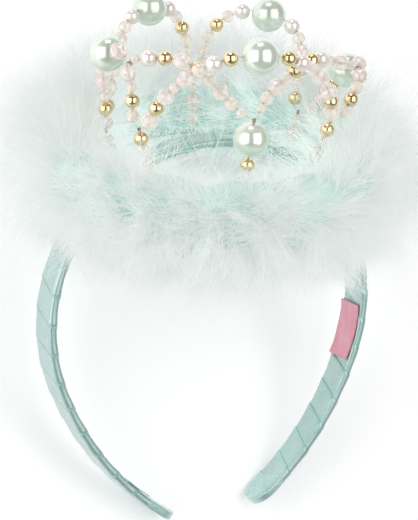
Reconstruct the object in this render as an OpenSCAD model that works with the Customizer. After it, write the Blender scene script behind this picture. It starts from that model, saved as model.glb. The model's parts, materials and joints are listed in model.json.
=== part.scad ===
// Mini crown headband: a satin-wrapped alice band that carries a small crown of wired beads in a ring of down.
// The pieces are worked out upright, with the middle of the band's upper arc at the origin, the front towards -Y
// and the crown up, and are then laid on the back, as the headband rests by itself.

/* [Band] */
// Radius of the upper arc, to the middle of the band's thickness
band_r = 60.3; // [54:0.1:68]
// Angle from the apex to where the legs straighten
band_turn = 109; // [100:1:118]
// Radius of the flatter arc of each leg
leg_r = 106; // [90:1:130]
// Angle from the apex to the end of each leg
leg_end = 146; // [140:1:152]
// Width of the band, front to back
band_w = 12.6; // [10:0.1:16]
// Thickness of the wrapped band
band_t = 2.7; // [2:0.1:4]
// Bevel along the band's four long edges
band_edge = 0.6; // [0.2:0.1:0.9]
// How much wider and thicker each tip is, where the ribbon folds over it
tip_more = 0.5; // [0.5:0.1:1]

/* [Ribbon and label] */
// Thickness of the loose end of the wrapping ribbon
tail_t = 0.9; // [0.5:0.1:1.5]
// Length of the loose end
tail_l = 10; // [6:0.5:16]
// Width of the loose end
tail_w = 6; // [4:0.5:9]
// How far the loose end stops short of the leg's end
tail_from_end = 8; // [6:0.5:20]
// Angle from the apex to the label's upper edge
label_from = 95; // [80:1:100]
// Angle from the apex to the label's lower edge
label_to = 115; // [110:1:125]
// Thickness of the folded label
label_t = 0.7; // [0.4:0.1:1.2]
// Bare band on each side of the label
label_margin = 0.4; // [0.2:0.1:2]

/* [Crown ring] */
// Radius of the wire ring that the posts stand on
ring_r = 33; // [30:0.5:36]
// Thickness of the ring, bound with thread
ring_wire = 2; // [1.5:0.1:3]
// How far the crown leans forward on the band, in degrees
crown_lean = 10; // [6:0.5:14]
// How far the ring's middle lies in front of the band
ring_forward = 8; // [6:0.5:10]
// Radius at the top of the front post
post_reach = 40; // [38:0.5:42]
// Turn of the whole crown about its axis
crown_turn = -10; // [-20:1:5]

/* [Wire and beads] */
// Diameter of the beading wire
wire_d = 0.6; // [0.4:0.05:0.8]
// Diameter of the hole through each bead
bead_bore = 1.3; // [1.2:0.05:1.5]
// Slack between neighbouring beads
bead_gap = 0.35; // [0.35:0.05:0.5]
// How far beside a post's top its arches start
arch_spread = 2.8; // [2.8:0.1:3.2]
// How far beside the front post's top the two garlands start
garland_spread = 1.8; // [1.8:0.1:2.4]
// Diameter of the big mint pearls
big_d = 12; // [11:0.1:13]
// Diameter of the gold beads
gold_d = 5; // [4.5:0.1:5.5]
// Diameter of the small white pearls
pearl_d = 5.5; // [5:0.1:6]
// Diameter of the clear round beads
clear_d = 4.5; // [4:0.1:5]
// Diameter of the smallest clear beads
seed_d = 3.4; // [3:0.1:3.8]
// Diameter of the two cloudy beads at the feet of the front arch
cloudy_d = 6; // [5.6:0.1:6.6]
// Length of the cut crystals
crystal_l = 6.1; // [5.8:0.1:6.8]
// Width of the cut crystals
crystal_w = 5; // [4.5:0.1:5.4]
// Length of the short iridescent crystals
short_l = 5.4; // [5:0.1:6]
// Width of the short iridescent crystals
short_w = 5.4; // [5:0.1:5.8]
// Length of the long oval beads
oval_l = 6.5; // [6:0.1:7.2]
// Width of the long oval beads
oval_w = 4.4; // [4:0.1:4.8]

/* [Down] */
// Radius of the middle of the down ring
down_r = 49; // [48:0.5:52]
// Half the radial depth of the backing that the locks grow from
backing_out = 13; // [11:0.5:13.5]
// Half the height of that backing
backing_up = 15; // [13:0.5:17]
// How far the locks stand out of the backing
lock_reach = 6; // [4:0.5:8]
// Width of a lock at its root
lock_root = 10; // [8:0.5:12]
// Locks in each row round the ring
locks_round = 30; // [24:1:36]

/* [Hidden] */

seat_gap = 0.3;
// The legs start this many degrees inside the upper arc's ends and are this much slimmer, for a clean join
leg_inside = 0.5;
leg_slim = 0.1;
wire_sides = 5;
round_sides = 64;
curve_steps = 44;
fit_passes = 16;
knot_room = 1.2;
knot_d = 1.5;
tallest = 90;

// Places in the table of bead kinds
long_at = 1;
wide_at = 2;

// letter, length along the wire, width; the wire bends sharply past a big pearl, which takes up more of it, and
// K is no bead but the knot where a garland is tied on
bead_kinds = [
    ["B", big_d * 1.19, big_d],
    ["G", gold_d, gold_d],
    ["P", pearl_d, pearl_d],
    ["C", clear_d, clear_d],
    ["S", seed_d, seed_d],
    ["L", cloudy_d, cloudy_d],
    ["X", crystal_l, crystal_w],
    ["A", short_l, short_w],
    ["O", oval_l, oval_w],
    ["K", knot_d, knot_d]
];
function kind(letter) = bead_kinds[search(letter, bead_kinds)[0]];
function bead_long(letter) = kind(letter)[long_at];

function total(v) = len(v) == 0 ? 0 : v * [for (x = v) 1];
function mix(a, b, t) = a + (b - a) * t;
function unit(v) = v / norm(v);

// What the beads of a string take up on its wire, with the knots at its ends
function string_need(beads) =
    total([for (b = beads) bead_long(b)]) + (len(beads) + 1) * bead_gap + 2 * knot_room;

// A place round the crown's axis: angle from the front, radius, height
function round_place(a, r, z) = [r * sin(a), -r * cos(a), z];

// Posts: turn from the front, reach of the top as a share of post_reach, beads from the top down
post_turn = 0;
post_out = 1;
post_string = 2;
posts = [
    [0, 1.00, "BGCC"],
    [-53, 1.08, "GCXX"],
    [-95, 0.95, "SO"],
    [-183, 0.92, "SXC"],
    [110, 0.88, "SX"],
    [51, 1.02, "GSOX"]
];
front_post = 0;
left_post = 1;
back_left_post = 2;
back_post = 3;
back_right_post = 4;
right_post = 5;

function post_angle(p) = crown_turn + posts[p][post_turn];
function post_foot(p) = round_place(post_angle(p), ring_r, 0);
function post_top_r(p) = posts[p][post_out] * post_reach;
function post_length(p) = string_need(posts[p][post_string]) + ring_wire / 2;
function post_rise(p) = sqrt(pow(post_length(p), 2) - pow(post_top_r(p) - ring_r, 2));
function post_top(p) = round_place(post_angle(p), post_top_r(p), post_rise(p));

// Where a string starts, beside the post's top by a distance round the crown
function beside_post(p, spread) = [post_angle(p) + spread / post_top_r(p) * 180 / PI, post_top_r(p), post_rise(p)];

// Strings between two ends, each an angle, a radius and a height: reach of the peak as a share of post_reach, how
// full the curve is (1 is an ellipse, 2 a parabola), share of the way at the peak, beads in order
end_a = 0;
end_b = 1;
peak_out = 2;
peak_full = 3;
peak_at = 4;
string_beads = 5;
front_arch = [beside_post(left_post, arch_spread), beside_post(right_post, -arch_spread),
    1.15, 1.6, 0.48, "LGASXCPGBGPCXSAGL"];
left_arch = [beside_post(left_post, -arch_spread), beside_post(back_left_post, arch_spread),
    1.10, 0.8, 0.34, "CGSXKXBXXSGC"];
back_left_arch = [beside_post(back_left_post, -arch_spread), beside_post(back_post, arch_spread),
    0.83, 0.7, 0.60, "SGOXSXCPBPCGCCX"];
back_right_arch = [beside_post(back_post, -arch_spread), beside_post(back_right_post, arch_spread),
    1.15, 0.7, 0.48, "XCCGCPBPCXGCG"];
right_arch = [beside_post(right_post, arch_spread), beside_post(back_right_post, -arch_spread),
    1.19, 2.0, 0.54, "CGCXKXBGXC"];

// Nearest equal turn, so that a string never runs the long way round
function near_turn(a, b) = b - a > 180 ? b - 360 : b - a < -180 ? b + 360 : b;
// The sweep runs from -90 degrees at one end over 0 at the peak to 90 degrees at the other
function string_point(s, peak, sweep) =
    let (side = sweep < 0 ? s[end_a] : s[end_b],
         a0 = s[end_a][0],
         a1 = near_turn(a0, s[end_b][0]),
         share = s[peak_at] + (sweep < 0 ? s[peak_at] : 1 - s[peak_at]) * sin(sweep))
    round_place(mix(a0, a1, share), mix(side[1], s[peak_out] * post_reach, cos(sweep)),
        mix(side[2], peak, pow(cos(sweep), s[peak_full])));
function string_path(s, peak) = [for (i = [0:curve_steps]) string_point(s, peak, 180 * i / curve_steps - 90)];
function path_length(p) = total([for (i = [1:len(p) - 1]) norm(p[i] - p[i - 1])]);
// The peak is as high as the beads need: halving finds it
function string_peak(s, low, high, passes) =
    passes == 0 ? (low + high) / 2
    : let (mid = (low + high) / 2)
      path_length(string_path(s, mid)) < string_need(s[string_beads]) ? string_peak(s, mid, high, passes - 1)
      : string_peak(s, low, mid, passes - 1);
function string_curve(s) = string_path(s, string_peak(s, max(s[end_a][2], s[end_b][2]), tallest, fit_passes));

// How far along a path each of its points lies
function run_of(p) =
    [for (i = 0, a = 0; i < len(p); i = i + 1, a = i < len(p) ? a + norm(p[i] - p[i - 1]) : a) a];
function along(p, run, s) =
    let (k = max([for (i = [0:len(p) - 2]) if (run[i] <= max(s, 0)) i]))
    mix(p[k], p[k + 1], (s - run[k]) / (run[k + 1] - run[k]));

// Each bead of a string as [letter, where the wire enters, where it leaves]
function strung(p, beads) =
    let (run = run_of(p),
         spare = (run[len(p) - 1] - string_need(beads)) / (len(beads) + 1),
         gap = bead_gap + spare,
         longs = [for (b = beads) bead_long(b)])
    [for (i = [0:len(beads) - 1])
        let (start = knot_room + (i + 1) * gap + total([for (j = [0:1:i - 1]) longs[j]]))
        [beads[i], along(p, run, start), along(p, run, start + longs[i])]];

function hung(s) = strung(string_curve(s), s[string_beads]);
front_strung = hung(front_arch);
left_strung = hung(left_arch);
back_left_strung = hung(back_left_arch);
back_right_strung = hung(back_right_arch);
right_strung = hung(right_arch);

// The garland runs from the front post to the knots in the side arches
function tie_place(beads) = [for (b = beads) if (b[0] == "K") (b[1] + b[2]) / 2][0];
left_tie = tie_place(left_strung);
right_tie = tie_place(right_strung);
function end_at(p) = [atan2(p.x, -p.y), norm([p.x, p.y]), p.z];
garland_left = [beside_post(front_post, -garland_spread), end_at(left_tie), 0.92, 3.4, 0.61, "SCACGXGPS"];
garland_right = [beside_post(front_post, garland_spread), end_at(right_tie), 0.78, 1.3, 0.60, "SCACGXGPSXS"];
garland_left_strung = hung(garland_left);
garland_right_strung = hung(garland_right);

function post_strung(p) = strung([post_top(p), mix(post_top(p), post_foot(p), 1 - ring_wire / 2 / post_length(p))],
    posts[p][post_string]);

// The band's two arcs, and the place of the crown on it
leg_middle = (band_r - leg_r) * [sin(band_turn), 0, cos(band_turn)];
tip_d = band_w + tip_more;
tip_t = band_t + tip_more;
cap_angle = leg_end - tip_d / 2 / leg_r * 180 / PI;
function leg_point(a, r_off) = leg_middle + (leg_r + r_off) * [sin(a), 0, cos(a)];
// The ring leans forward and lies across the band where the two cross, where two gaps keep it off the band's edges
ring_cross = sqrt(pow(ring_r, 2) - pow(ring_forward / cos(crown_lean), 2));
ring_height = sqrt(pow(band_r + band_t / 2 + 2 * seat_gap + ring_wire / 2, 2) - pow(ring_cross, 2))
    - ring_forward * tan(crown_lean);
ring_middle = [0, -ring_forward, ring_height];

// Lying on the back: the floor touches both tips and the down behind the crown. For a lean of the band from the
// floor, each gives the height of its lowest place, and halving finds the lean that makes them equal.
tip_middle = leg_point(cap_angle, 0);
tip_along = [cos(cap_angle), 0, -sin(cap_angle)];
tip_across = [sin(cap_angle), 0, cos(cap_angle)];
function up_at(lean) = [0, -cos(lean), sin(lean)];
function tip_low(lean) = let (up = up_at(lean))
    up * tip_middle - tip_d / 2 * norm([up.y, up * tip_along]) - tip_t / 2 * abs(up * tip_across);
down_back = ring_middle + down_r * [0, cos(crown_lean), sin(crown_lean)];
down_out = max(backing_out, backing_up) + lock_reach;
function down_low(lean) = up_at(lean) * down_back - down_out;
function find_lean(low, high, passes) =
    passes == 0 ? (low + high) / 2
    : let (mid = (low + high) / 2)
      down_low(mid) < tip_low(mid) ? find_lean(mid, high, passes - 1) : find_lean(low, mid, passes - 1);
rest_lean = find_lean(0, 45, 2 * fit_passes);
rest_turn = rest_lean - 90;
function world(p) = ring_middle
    + [p.x, p.y * cos(crown_lean) - p.z * sin(crown_lean), p.y * sin(crown_lean) + p.z * cos(crown_lean)];
// The way along the floor, from the tips to the crown
level = [0, sin(rest_lean), cos(rest_lean)];
big_middles = [for (s = [front_strung, left_strung, back_left_strung, back_right_strung, right_strung])
    for (b = s) if (b[0] == "B") world((b[1] + b[2]) / 2)];
far_end = max([for (m = big_middles) level * m]) + big_d / 2;
near_end = level * tip_middle - tip_d / 2 * norm([level.y, level * tip_along]) - tip_t / 2 * abs(level * tip_across);
floor_drop = tip_low(rest_lean);

module laid() {
    translate([0, -(far_end + near_end) / 2, -floor_drop]) rotate([rest_turn, 0, 0]) children();
}
module on_crown() {
    laid() translate(ring_middle) rotate([crown_lean, 0, 0]) children();
}
// Turns a shape's Z axis along a wire
module aimed(from, to) {
    d = unit(to - from);
    translate((from + to) / 2) rotate([0, acos(d.z), atan2(d.y, d.x)]) children();
}

module band_profile(r, w, t, edge) {
    translate([r, 0]) polygon([
        [-t / 2, -w / 2 + edge], [-t / 2 + edge, -w / 2], [t / 2 - edge, -w / 2], [t / 2, -w / 2 + edge],
        [t / 2, w / 2 - edge], [t / 2 - edge, w / 2], [-t / 2 + edge, w / 2], [-t / 2, w / 2 - edge]
    ]);
}
// A stretch of the band's path, from one angle to another, for any width and thickness on it
module upper_stretch(from, to, off, w, t, edge) {
    rotate([90, 0, 0]) rotate([0, 0, 90 - to])
        rotate_extrude(angle = to - from, $fn = 2 * round_sides) band_profile(band_r + off, w, t, edge);
}
module leg_stretch(from, to, off, w, t, edge) {
    translate(leg_middle) rotate([90, 0, 0]) rotate([0, 0, 90 - to])
        rotate_extrude(angle = to - from, $fn = 2 * round_sides) band_profile(leg_r + off, w, t, edge);
}
// The band, or a copy of it that is wider and thicker by the room
module band_solid(room, edge) {
    upper_stretch(-band_turn, band_turn, 0, band_w + room, band_t + room, edge);
    for (side = [0, 1]) mirror([side, 0, 0]) {
        leg_stretch(band_turn - leg_inside, cap_angle, 0, band_w + room - leg_slim, band_t + room - leg_slim, edge);
        translate(leg_point(cap_angle, 0)) rotate([0, cap_angle, 0])
            cylinder(h = tip_t + room, d = tip_d + room, center = true, $fn = round_sides);
    }
}

module band() {
    color("#a9d3ce") laid() band_solid(0, band_edge);
}
module ribbon_tail() {
    tail_end = cap_angle - tail_from_end / leg_r * 180 / PI;
    tail_start = tail_end - tail_l / leg_r * 180 / PI;
    color("#bfe3dd") laid() mirror([1, 0, 0]) translate([0, -(band_w - tail_w) / 2, 0])
        leg_stretch(tail_start, tail_end, -(band_t + tail_t) / 2 - seat_gap, tail_w, tail_t, tail_t / 4);
}
module label() {
    off = -(band_t + label_t) / 2 - seat_gap;
    color("#e79bb0") laid()
        upper_stretch(label_from, label_to, off, band_w - 2 * label_margin, label_t, label_t / 4);
}

// A wire of straight runs: a ring of points in the plane halfway between the runs that meet at each place.
// Spin is where the ring's first point looks: out from the crown's axis, or round it for the posts.
function out_from_axis(p) = unit([p.x, p.y, 0]);
function round_axis(p) = unit([-p.y, p.x, 0]);
function wire_ring(p, i, r, round) =
    let (n = len(p),
         t = unit(p[min(i + 1, n - 1)] - p[max(i - 1, 0)]),
         guide = round ? round_axis(p[i]) : out_from_axis(p[i]),
         u = unit(cross(t, guide)),
         v = cross(t, u))
    [for (k = [0:wire_sides - 1]) p[i] + r * (u * cos(360 * k / wire_sides) + v * sin(360 * k / wire_sides))];
module wire(p, d, round = false) {
    n = len(p);
    sides = wire_sides;
    points = [for (i = [0:n - 1]) for (q = wire_ring(p, i, d / 2, round)) q];
    polyhedron(points, concat(
        [[for (k = [0:sides - 1]) k]],
        [for (i = [0:n - 2]) for (k = [0:sides - 1])
            [i * sides + k, (i + 1) * sides + k, (i + 1) * sides + (k + 1) % sides, i * sides + (k + 1) % sides]],
        [[for (k = [sides - 1:-1:0]) (n - 1) * sides + k]]));
}
// The wire bends only between beads
function bead_runs(start, beads, end) = concat([start], [for (b = beads) for (e = [b[1], b[2]]) e], [end]);
module knot(at) {
    for (turn = [-1, 1]) translate(at + [0, 0, turn * knot_d / 4]) sphere(d = knot_d, $fn = 6);
}
module twist(at, toward) {
    d = unit(toward - at);
    hull() {
        translate(at) sphere(d = wire_d * 1.6, $fn = 6);
        translate(at + d * knot_room * 0.8) sphere(d = wire_d * 1.2, $fn = 6);
    }
}

module crown_wire() {
    color("#8d7468") on_crown() {
        rotate_extrude($fn = 48) translate([ring_r, 0]) circle(d = ring_wire, $fn = wire_sides);
        for (s = [[left_post, right_post, front_strung], [left_post, back_left_post, left_strung],
                  [back_left_post, back_post, back_left_strung], [back_post, back_right_post, back_right_strung],
                  [right_post, back_right_post, right_strung]]) {
            beads = s[2];
            wire(bead_runs(post_top(s[0]), beads, post_top(s[1])), wire_d);
            twist(post_top(s[0]), beads[0][1]);
            twist(post_top(s[1]), beads[len(beads) - 1][2]);
        }
        for (s = [[left_tie, garland_left_strung], [right_tie, garland_right_strung]]) {
            wire(bead_runs(post_top(front_post), s[1], s[0]), wire_d);
            knot(s[0]);
            twist(s[0], s[1][len(s[1]) - 1][2]);
        }
        for (p = [0:len(posts) - 1]) {
            wire([post_top(p), post_foot(p)], wire_d, true);
            knot(post_top(p));
        }
    }
}

// Cut bead: height and width of each ring of corners, as shares of its length and width
cut_sides = 8;
cut_rings = [[-0.50, 0.52], [-0.14, 1.00], [0.14, 1.00], [0.50, 0.52]];
module cut_bead(l, w) {
    n = len(cut_rings);
    points = [for (c = cut_rings) for (k = [0:cut_sides - 1])
        [w / 2 * c[1] * cos(360 * k / cut_sides), w / 2 * c[1] * sin(360 * k / cut_sides), l * c[0]]];
    polyhedron(points, concat(
        [[for (k = [0:cut_sides - 1]) k]],
        [for (i = [0:n - 2]) for (k = [0:cut_sides - 1])
            [i * cut_sides + k, (i + 1) * cut_sides + k, (i + 1) * cut_sides + (k + 1) % cut_sides,
             i * cut_sides + (k + 1) % cut_sides]],
        [[for (k = [cut_sides - 1:-1:0]) (n - 1) * cut_sides + k]]));
}
cut_letters = "XAO";
module bead(b) {
    row = kind(b[0]);
    aimed(b[1], b[2]) difference() {
        if (len(search(b[0], cut_letters)) > 0) cut_bead(row[long_at], row[wide_at]);
        else sphere(d = row[wide_at], $fn = round_sides);
        cylinder(h = 2 * row[long_at], d = bead_bore, center = true, $fn = round_sides);
    }
}
module big_pearl(beads) {
    color("#cfe6d6") on_crown() for (b = beads) if (b[0] == "B") bead(b);
}
module gold_bead(beads, n) {
    color("#d6b060") on_crown() bead([for (b = beads) if (b[0] == "G") b][n - 1]);
}
// All the beads of a string but the big pearl and the gold ones
module small_beads(beads) {
    color("#efe6e0") on_crown() for (b = beads) if (len(search(b[0], "BGK")) == 0) bead(b);
}
module post_beads() {
    for (p = [0:len(posts) - 1]) small_beads(post_strung(p));
}

// Rows of locks: turn of the lock up from straight outwards, its length as a share, half a step of offset or none
lock_rows = [[-68, 0.90, 0], [-36, 1.00, 0.5], [-4, 1.10, 0], [28, 1.00, 0.5], [60, 0.90, 0]];
lock_sides = 5;
module lock(turn, share) {
    root = [down_r + (backing_out - lock_root / 3) * cos(turn), 0, (backing_up - lock_root / 3) * sin(turn)];
    reach = lock_reach * share + lock_root / 3;
    translate(root) rotate([0, 90 - turn, 0]) cylinder(h = reach, d1 = lock_root, d2 = 1, $fn = lock_sides);
}
module down_solid() {
    rotate_extrude($fn = 48) translate([down_r, 0]) scale([1, backing_up / backing_out])
        circle(r = backing_out, $fn = 14);
    for (row = lock_rows) for (k = [0:locks_round - 1])
        rotate([0, 0, 360 * (k + row[2]) / locks_round]) lock(row[0], row[1]);
}
// The locks part round the band, the ring and the posts
module marabou() {
    color("#e1eeeb") laid() difference() {
        translate(ring_middle) rotate([crown_lean, 0, 0]) down_solid();
        band_solid(2 * seat_gap, band_edge);
        translate(ring_middle) rotate([crown_lean, 0, 0]) {
            rotate_extrude($fn = 48) translate([ring_r, 0]) circle(d = ring_wire + 2 * seat_gap, $fn = 8);
            for (p = [0:len(posts) - 1]) hull() for (e = [post_foot(p), 2 * post_top(p) - post_foot(p)])
                translate(e) sphere(d = crystal_w + 1, $fn = 10);
            for (b = concat(left_strung, back_left_strung, back_right_strung, right_strung))
                aimed(b[1], b[2]) hull() cylinder(h = bead_long(b[0]), d = bead_long(b[0]) + 1, center = true, $fn = 8);
        }
    }
}

band();
ribbon_tail();
label();
crown_wire();
marabou();
big_pearl(front_strung);  // pearl_front
big_pearl(left_strung);  // pearl_left
big_pearl(back_left_strung);  // pearl_back_left
big_pearl(back_right_strung);  // pearl_back_right
big_pearl(right_strung);  // pearl_right
big_pearl(post_strung(front_post));  // pearl_post
gold_bead(front_strung, 1);  // gold_front_1
gold_bead(front_strung, 2);  // gold_front_2
gold_bead(front_strung, 3);  // gold_front_3
gold_bead(front_strung, 4);  // gold_front_4
gold_bead(left_strung, 1);  // gold_left_1
gold_bead(left_strung, 2);  // gold_left_2
gold_bead(back_left_strung, 1);  // gold_back_left_1
gold_bead(back_left_strung, 2);  // gold_back_left_2
gold_bead(back_right_strung, 1);  // gold_back_right_1
gold_bead(back_right_strung, 2);  // gold_back_right_2
gold_bead(back_right_strung, 3);  // gold_back_right_3
gold_bead(right_strung, 1);  // gold_right_1
gold_bead(right_strung, 2);  // gold_right_2
gold_bead(garland_left_strung, 1);  // gold_garland_left_1
gold_bead(garland_left_strung, 2);  // gold_garland_left_2
gold_bead(garland_right_strung, 1);  // gold_garland_right_1
gold_bead(garland_right_strung, 2);  // gold_garland_right_2
gold_bead(post_strung(front_post), 1);  // gold_post_front
gold_bead(post_strung(left_post), 1);  // gold_post_left
gold_bead(post_strung(right_post), 1);  // gold_post_right
small_beads(front_strung);  // beads_front
small_beads(left_strung);  // beads_left
small_beads(back_left_strung);  // beads_back_left
small_beads(back_right_strung);  // beads_back_right
small_beads(right_strung);  // beads_right
small_beads(garland_left_strung);  // beads_garland_left
small_beads(garland_right_strung);  // beads_garland_right
post_beads();  // beads_posts
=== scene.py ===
# Mini crown headband: satin-wrapped alice band, wired bead crown and a ring of marabou down.
# Lengths are in millimetres in the dictionaries and metres in Blender; the band is worked out upright
# (front -Y, crown up) and laid on its back by uprightPlace.
import json
import math

import bmesh
import bpy
import numpy as np
from mathutils import Matrix, Vector, noise

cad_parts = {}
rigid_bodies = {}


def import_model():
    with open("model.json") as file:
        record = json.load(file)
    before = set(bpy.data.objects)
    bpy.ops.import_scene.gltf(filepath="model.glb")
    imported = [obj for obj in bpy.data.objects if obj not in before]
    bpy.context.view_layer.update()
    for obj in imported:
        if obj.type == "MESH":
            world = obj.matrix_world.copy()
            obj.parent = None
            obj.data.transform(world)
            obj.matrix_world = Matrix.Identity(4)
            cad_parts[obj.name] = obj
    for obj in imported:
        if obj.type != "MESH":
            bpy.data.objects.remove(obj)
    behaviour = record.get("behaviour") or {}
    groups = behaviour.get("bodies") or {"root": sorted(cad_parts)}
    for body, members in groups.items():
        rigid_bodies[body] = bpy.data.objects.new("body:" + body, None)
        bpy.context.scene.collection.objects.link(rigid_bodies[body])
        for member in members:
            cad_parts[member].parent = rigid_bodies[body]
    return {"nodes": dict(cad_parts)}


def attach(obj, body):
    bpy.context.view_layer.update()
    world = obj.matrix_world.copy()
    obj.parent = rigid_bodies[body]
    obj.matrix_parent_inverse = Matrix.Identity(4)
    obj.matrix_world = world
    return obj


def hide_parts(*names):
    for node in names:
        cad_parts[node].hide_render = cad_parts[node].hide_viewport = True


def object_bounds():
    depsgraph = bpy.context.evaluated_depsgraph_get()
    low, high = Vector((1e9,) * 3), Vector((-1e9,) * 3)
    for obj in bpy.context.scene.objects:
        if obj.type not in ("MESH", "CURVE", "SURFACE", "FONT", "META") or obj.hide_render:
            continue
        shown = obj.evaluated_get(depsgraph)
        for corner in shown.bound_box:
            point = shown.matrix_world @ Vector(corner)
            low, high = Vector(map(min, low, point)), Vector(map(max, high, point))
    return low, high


mm = 0.001
for leftOver in list(bpy.data.objects):
    bpy.data.objects.remove(leftOver)
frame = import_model()
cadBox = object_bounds()
nodes = frame["nodes"]
print("frame loaded,", len(nodes), "nodes")


def tint(red, green, blue):
    # colour given as it looks on screen, 0 to 255
    shares = [c / 255 for c in (red, green, blue)]
    return tuple(((s + 0.055) / 1.055) ** 2.4 if s > 10 / 255 else s / 12.92 for s in shares) + (1.0,)


def nodeCorners(name):
    data = nodes[name].data
    co = np.empty(len(data.vertices) * 3, np.float32)
    data.vertices.foreach_get("co", co)
    return co.reshape(-1, 3).astype(float)


# the band: two arcs a side, and how it lies on the floor, read from its own node
band = {"arcRadius": 60.3, "arcEnd": 109.0, "legRadius": 106.0, "legEnd": 146.0,
        "width": 12.6, "thickness": 2.7}
crown = {"radius": 33.0, "lean": 10.0, "forward": 8.0, "wire": 2.0, "seat": 0.6}


def addObject(name, data):
    thing = bpy.data.objects.new(name, data)
    bpy.context.scene.collection.objects.link(thing)
    return thing


def findUprightPlace():
    co = nodeCorners("band")
    flat = co[:, 1:] - co[:, 1:].mean(0)
    vectors = np.linalg.eigh(flat.T @ flat)[1]
    upward = vectors[:, 1] * np.sign(vectors[0, 1])          # the band's long way, towards the crown
    backward = np.array([upward[1], -upward[0]])
    top = (co[:, 1:] @ upward).max() - (band["arcRadius"] + band["thickness"] / 2) * mm
    across = co[:, 1:] @ backward
    origin = upward * top + backward * (across.min() + across.max()) / 2
    place = Matrix.Identity(4)
    place.col[1] = (0, backward[0], backward[1], 0)
    place.col[2] = (0, upward[0], upward[1], 0)
    place.col[3] = (0, origin[0], origin[1], 1)
    return place


uprightPlace = findUprightPlace()
ringCross = math.sqrt(crown["radius"] ** 2 - (crown["forward"] / math.cos(math.radians(crown["lean"]))) ** 2)
ringRise = math.sqrt((band["arcRadius"] + band["thickness"] / 2 + crown["seat"] + crown["wire"] / 2) ** 2
                     - ringCross ** 2) - crown["forward"] * math.tan(math.radians(crown["lean"]))
crownPlace = (uprightPlace @ Matrix.Translation(Vector((0, -crown["forward"], ringRise)) * mm)
              @ Matrix.Rotation(math.radians(crown["lean"]), 4, "X"))
crownAxis = (crownPlace.to_3x3() @ Vector((0, 0, 1))).normalized()
print("band lies at", round(math.degrees(math.atan2(uprightPlace[2][2], uprightPlace[1][2])), 2), "degrees")

# camera, read from the photograph: angles round the upright band, distance, pixels to a millimetre,
# and in pixels the frame and the middle of the band's upper arc
view = {"azimuth": -26.0, "elevation": 15.75, "roll": -1.0, "distance": 880.0, "scale": 2.86,
        "middle": (205.9, 310.0), "frame": (418, 520), "sensor": 36.0, "clip": (0.05, 20)}


def makeCamera():
    a, e, r = (math.radians(view[k]) for k in ("azimuth", "elevation", "roll"))
    back = Vector((math.sin(a) * math.cos(e), -math.cos(a) * math.cos(e), math.sin(e)))
    side = Vector((math.cos(a), math.sin(a), 0))
    up = Vector((-math.sin(a) * math.sin(e), math.cos(a) * math.sin(e), math.cos(e)))
    side, up = side * math.cos(r) + up * math.sin(r), up * math.cos(r) - side * math.sin(r)
    wide, high = view["frame"]
    aim = (side * (wide / 2 - view["middle"][0]) + up * (view["middle"][1] - high / 2)) / view["scale"]
    eye = back * view["distance"]
    look = (aim - eye).normalized()
    right = look.cross(up).normalized()
    turn = Matrix((right, right.cross(look), -look)).transposed().to_4x4()
    data = bpy.data.cameras.new("photoCamera")
    data.sensor_width = view["sensor"]
    data.lens = view["scale"] * view["distance"] / high * view["sensor"]
    data.clip_start, data.clip_end = view["clip"]
    camera = addObject("photoCamera", data)
    camera.matrix_world = uprightPlace @ Matrix.Translation(eye * mm) @ turn
    bpy.context.scene.camera = camera
    return camera


camera = makeCamera()
cameraTurn = camera.matrix_world.to_3x3().normalized()
print("camera set, lens", round(camera.data.lens, 1))


# helpers that materials and pieces share
def newMaterial(name):
    material = bpy.data.materials.new(name)
    material.use_nodes = True
    shader = material.node_tree.nodes["Principled BSDF"]
    return material, material.node_tree, shader


def addNode(tree, kind, **settings):
    node = tree.nodes.new(kind)
    for key, value in settings.items():
        if key in node.inputs:
            node.inputs[key].default_value = value
        else:
            setattr(node, key, value)
    return node


def colourSteps(tree, factor, steps):
    ramp = tree.nodes.new("ShaderNodeValToRGB")
    bands = ramp.color_ramp.elements
    while len(bands) < len(steps):
        bands.new(0.5)
    for element, (place, colour) in zip(bands, steps):
        element.position, element.color = place, colour
    tree.links.new(factor, ramp.inputs[0])
    return ramp.outputs[0]


def makeMottleGroup():
    # soft patchy variation on Object coordinates: a coarse mask and one six times finer
    group = bpy.data.node_groups.new("mottle", "ShaderNodeTree")
    for name, usual in (("Scale", 200.0), ("Detail", 3.0)):
        socket = group.interface.new_socket(name, in_out="INPUT", socket_type="NodeSocketFloat")
        socket.default_value = usual
    for name in ("Mask", "Fine"):
        group.interface.new_socket(name, in_out="OUTPUT", socket_type="NodeSocketFloat")
    links = group.links
    inputs, outputs = group.nodes.new("NodeGroupInput"), group.nodes.new("NodeGroupOutput")
    place = group.nodes.new("ShaderNodeTexCoord")
    coarse, fine = group.nodes.new("ShaderNodeTexNoise"), group.nodes.new("ShaderNodeTexNoise")
    finer = addNode(group, "ShaderNodeMath", operation="MULTIPLY")
    finer.inputs[1].default_value = 6
    links.new(place.outputs["Object"], coarse.inputs["Vector"])
    links.new(place.outputs["Object"], fine.inputs["Vector"])
    links.new(inputs.outputs["Scale"], coarse.inputs["Scale"])
    links.new(inputs.outputs["Scale"], finer.inputs[0])
    links.new(finer.outputs[0], fine.inputs["Scale"])
    links.new(inputs.outputs["Detail"], coarse.inputs["Detail"])
    links.new(coarse.outputs[0], outputs.inputs["Mask"])
    links.new(fine.outputs[0], outputs.inputs["Fine"])
    return group


mottleGroup = makeMottleGroup()


def addMottle(tree, scale, detail=3.0):
    node = tree.nodes.new("ShaderNodeGroup")
    node.node_tree = mottleGroup
    node.inputs["Scale"].default_value = scale
    node.inputs["Detail"].default_value = detail
    return node


def addShare(tree, base, source, share):
    node = addNode(tree, "ShaderNodeMath", operation="MULTIPLY_ADD")
    tree.links.new(source, node.inputs[0])
    node.inputs[1].default_value = share
    tree.links.new(base, node.inputs[2])
    return node.outputs[0]


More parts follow.
